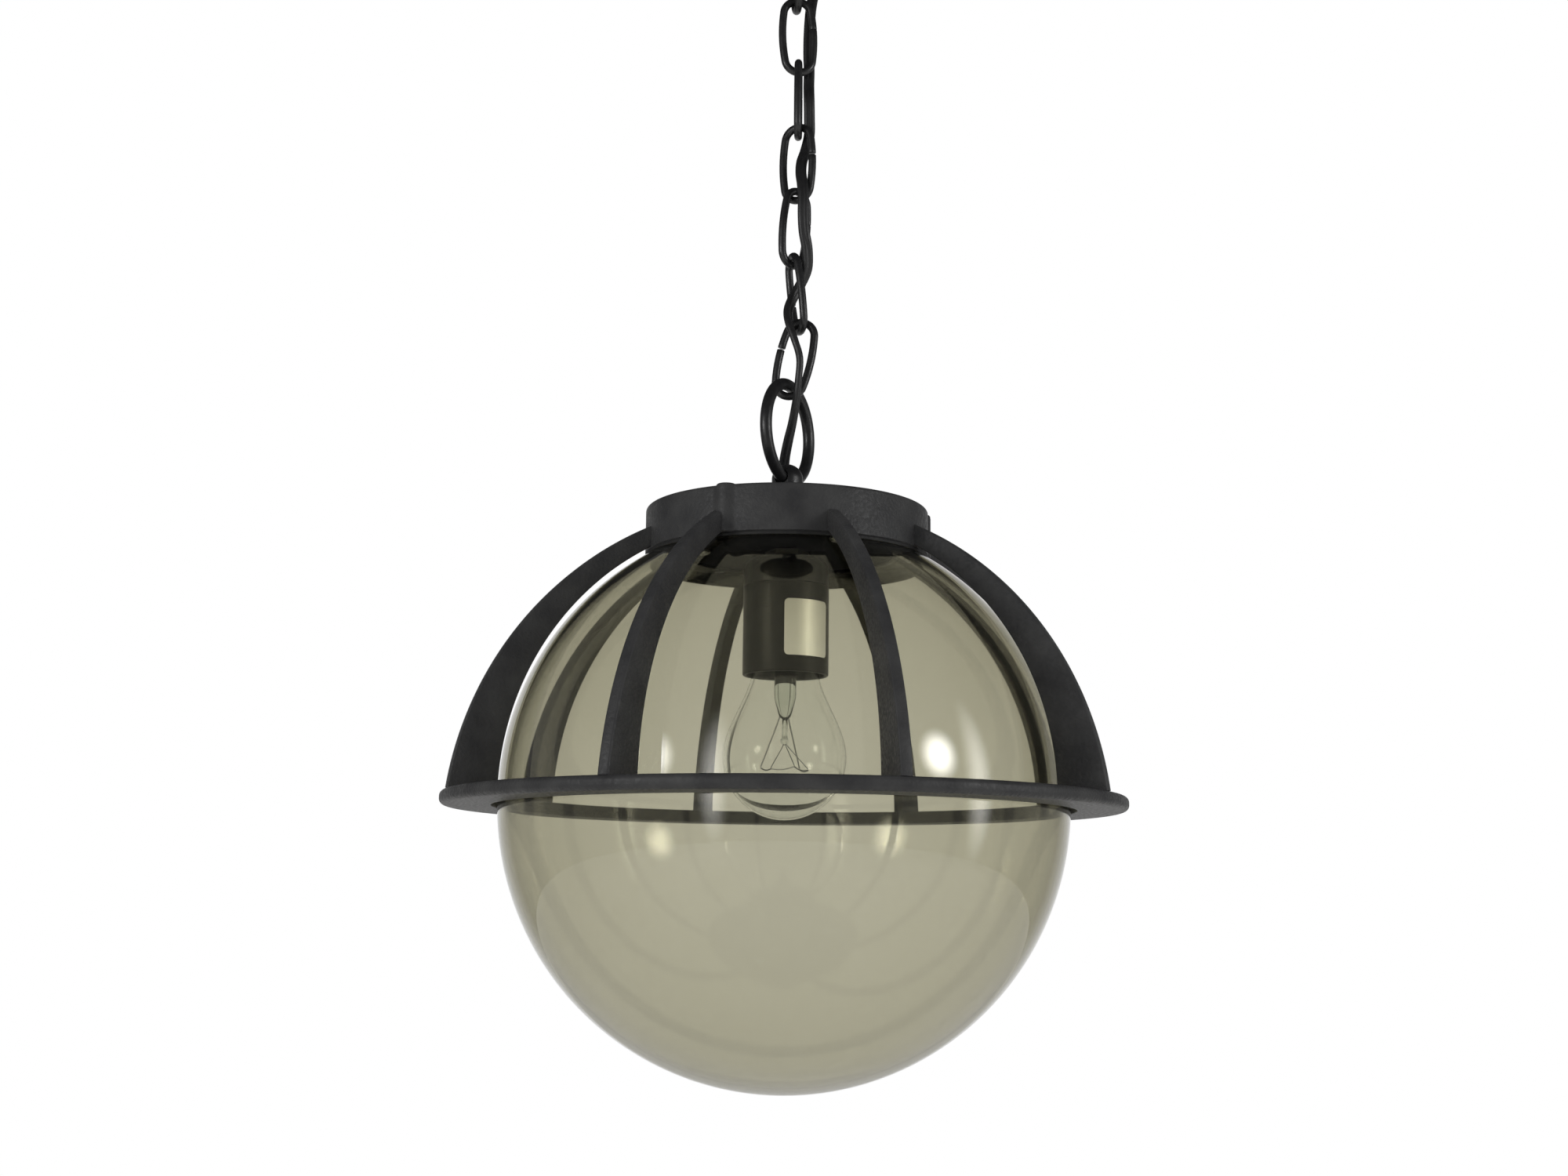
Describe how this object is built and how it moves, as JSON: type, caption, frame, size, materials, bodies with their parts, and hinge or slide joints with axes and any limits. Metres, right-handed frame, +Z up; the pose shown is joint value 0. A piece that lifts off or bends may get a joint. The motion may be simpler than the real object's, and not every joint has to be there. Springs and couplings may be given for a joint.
{
  "type": "globe pendant light",
  "caption": "Pendant light: a smoked glass globe in a ribbed steel hood and guard ring, hung by a ring, chain and flat flex from a ceiling canopy.",
  "frame": {"origin": "on the ceiling plane, at the middle of the two ceiling screws and of the canopy", "axes": "+Z up out of the ceiling face, +X to the right and -Y towards the viewer in the picture, with the ceiling screws along X"},
  "size_m": [0.2994, 0.2994, 0.5847],
  "materials": {
    "black_powder_coat": "fine textured satin",
    "black_chain_steel": "satin",
    "zinc_plated_steel": "satin",
    "cast_aluminium": "satin",
    "black_thermoplastic": "satin moulded",
    "white_terminal_plastic": "satin moulded",
    "white_porcelain": "glazed",
    "black_rubber": "matte",
    "brass": "satin",
    "smoked_glass": "polished, smoked",
    "clear_glass": "polished, clear",
    "nickel_brass": "bright",
    "solder": "dull",
    "black_glass_insulator": "gloss",
    "tungsten": "dull",
    "pvc_flex": "satin",
    "brown_core": "satin",
    "bare_label": "satin, no print"
  },
  "bodies": {
    "ceiling": {"ceiling_bracket": "zinc_plated_steel", "canopy": "black_powder_coat", "canopy_loop": "black_powder_coat", "canopy_nut": "zinc_plated_steel", "canopy_bush": "black_rubber", "terminal_block": "white_terminal_plastic", "terminal_screws": "brass", "flex": "pvc_flex"},
    "chain_link_1": {"chain_link_1": "black_chain_steel"},
    "chain_link_2": {"chain_link_2": "black_chain_steel"},
    "chain_link_3": {"chain_link_3": "black_chain_steel"},
    "chain_link_4": {"chain_link_4": "black_chain_steel"},
    "chain_link_5": {"chain_link_5": "black_chain_steel"},
    "chain_link_6": {"chain_link_6": "black_chain_steel"},
    "chain_link_7": {"chain_link_7": "black_chain_steel"},
    "suspension_ring": {"suspension_ring": "black_chain_steel"},
    "lamp": {"suspension_eye": "black_chain_steel", "eye_nut": "zinc_plated_steel", "hood": "black_powder_coat", "hood_bush": "black_rubber", "cord_grip": "white_terminal_plastic", "guard_ring": "black_powder_coat", "rib_1": "black_powder_coat", "rib_2": "black_powder_coat", "rib_3": "black_powder_coat", "rib_4": "black_powder_coat", "rib_5": "black_powder_coat", "rib_6": "black_powder_coat", "rib_7": "black_powder_coat", "rib_8": "black_powder_coat", "gallery_ring": "cast_aluminium", "gallery_screws": "zinc_plated_steel", "gear_plate": "black_powder_coat", "plate_posts": "zinc_plated_steel", "plate_screws": "zinc_plated_steel", "holder_nipple": "zinc_plated_steel", "nipple_nut": "zinc_plated_steel", "holder_dome": "black_thermoplastic", "holder_skirt": "black_thermoplastic", "holder_core": "white_porcelain", "screw_shell": "brass", "centre_contact": "brass", "holder_terminals": "brass", "inner_wires": "brown_core", "holder_label": "bare_label"},
    "seal": {"globe_seal": "black_rubber"},
    "globe": {"globe": "smoked_glass"},
    "bulb_tip": {"bulb_contact": "solder"},
    "bulb": {"bulb_cap": "nickel_brass", "bulb_insulator": "black_glass_insulator", "bulb_glass": "clear_glass", "bulb_stem": "clear_glass", "bulb_leads": "tungsten", "bulb_filament": "tungsten"}
  },
  "joints": [
    {"name": "chain_link_1_swing", "type": "hinge", "parent": "ceiling", "child": "chain_link_1", "pos_m": [0, 0, -0.0555], "axis": [1, 0, 0], "range_deg": [-30, 30], "deforming": ["flex"]},
    {"name": "chain_link_2_swing", "type": "hinge", "parent": "chain_link_1", "child": "chain_link_2", "pos_m": [0.00247, 0.00013, -0.08631], "axis": [0.1388, -0.9903, 0.0097], "range_deg": [-30, 30], "deforming": ["flex"]},
    {"name": "chain_link_3_swing", "type": "hinge", "parent": "chain_link_2", "child": "chain_link_3", "pos_m": [0.00327, 0.00006, -0.1179], "axis": [-0.9897, -0.1392, -0.0346], "range_deg": [-30, 30], "deforming": ["flex"]},
    {"name": "chain_link_4_swing", "type": "hinge", "parent": "chain_link_3", "child": "chain_link_4", "pos_m": [0.00327, 0.00006, -0.1495], "axis": [0.0349, 0.9994, 0], "range_deg": [-30, 30], "deforming": ["flex"]},
    {"name": "chain_link_5_swing", "type": "hinge", "parent": "chain_link_4", "child": "chain_link_5", "pos_m": [0.00327, 0.00006, -0.1811], "axis": [0.9135, -0.4067, 0], "range_deg": [-30, 30], "deforming": ["flex"]},
    {"name": "chain_link_6_swing", "type": "hinge", "parent": "chain_link_5", "child": "chain_link_6", "pos_m": [0.00119, 0.00054, -0.21262], "axis": [-0.7411, -0.6691, 0.0544], "range_deg": [-30, 30], "deforming": ["flex"]},
    {"name": "chain_link_7_swing", "type": "hinge", "parent": "chain_link_6", "child": "chain_link_7", "pos_m": [0.00526, 0.00099, -0.24398], "axis": [-0.3068, 0.9511, -0.0366], "range_deg": [-30, 30], "deforming": ["flex"]},
    {"name": "suspension_ring_swing", "type": "hinge", "parent": "chain_link_7", "child": "suspension_ring", "pos_m": [0.00049, 0.00062, -0.27508], "axis": [-0.9686, 0.1392, 0.2059], "range_deg": [-30, 30], "deforming": ["flex"]},
    {"name": "lamp_swing", "type": "hinge", "parent": "suspension_ring", "child": "lamp", "pos_m": [0, 0, -0.31468], "axis": [0.4384, 0.8988, 0], "range_deg": [-30, 30], "deforming": ["flex"]},
    {"name": "globe_drop", "type": "slide", "parent": "lamp", "child": "seal", "axis": [0, 0, -1], "range_m": [0, 0.0066]},
    {"name": "globe_turn", "type": "hinge", "parent": "seal", "child": "globe", "pos_m": [0, 0, -0.45975], "axis": [0, 0, -1], "range_deg": [0, 397]},
    {"name": "bulb_drop", "type": "slide", "parent": "lamp", "child": "bulb_tip", "axis": [0, 0, -1], "range_m": [0, 0.01452]},
    {"name": "bulb_turn", "type": "hinge", "parent": "bulb_tip", "child": "bulb", "pos_m": [0, 0, -0.44015], "axis": [0, 0, -1], "range_deg": [0, 1441]}
  ],
  "couplings": [
    {"joint": "globe_turn", "follows": "globe_drop", "rad_per_m": 1047.2},
    {"joint": "bulb_turn", "follows": "bulb_drop", "rad_per_m": 1731.4}
  ]
}
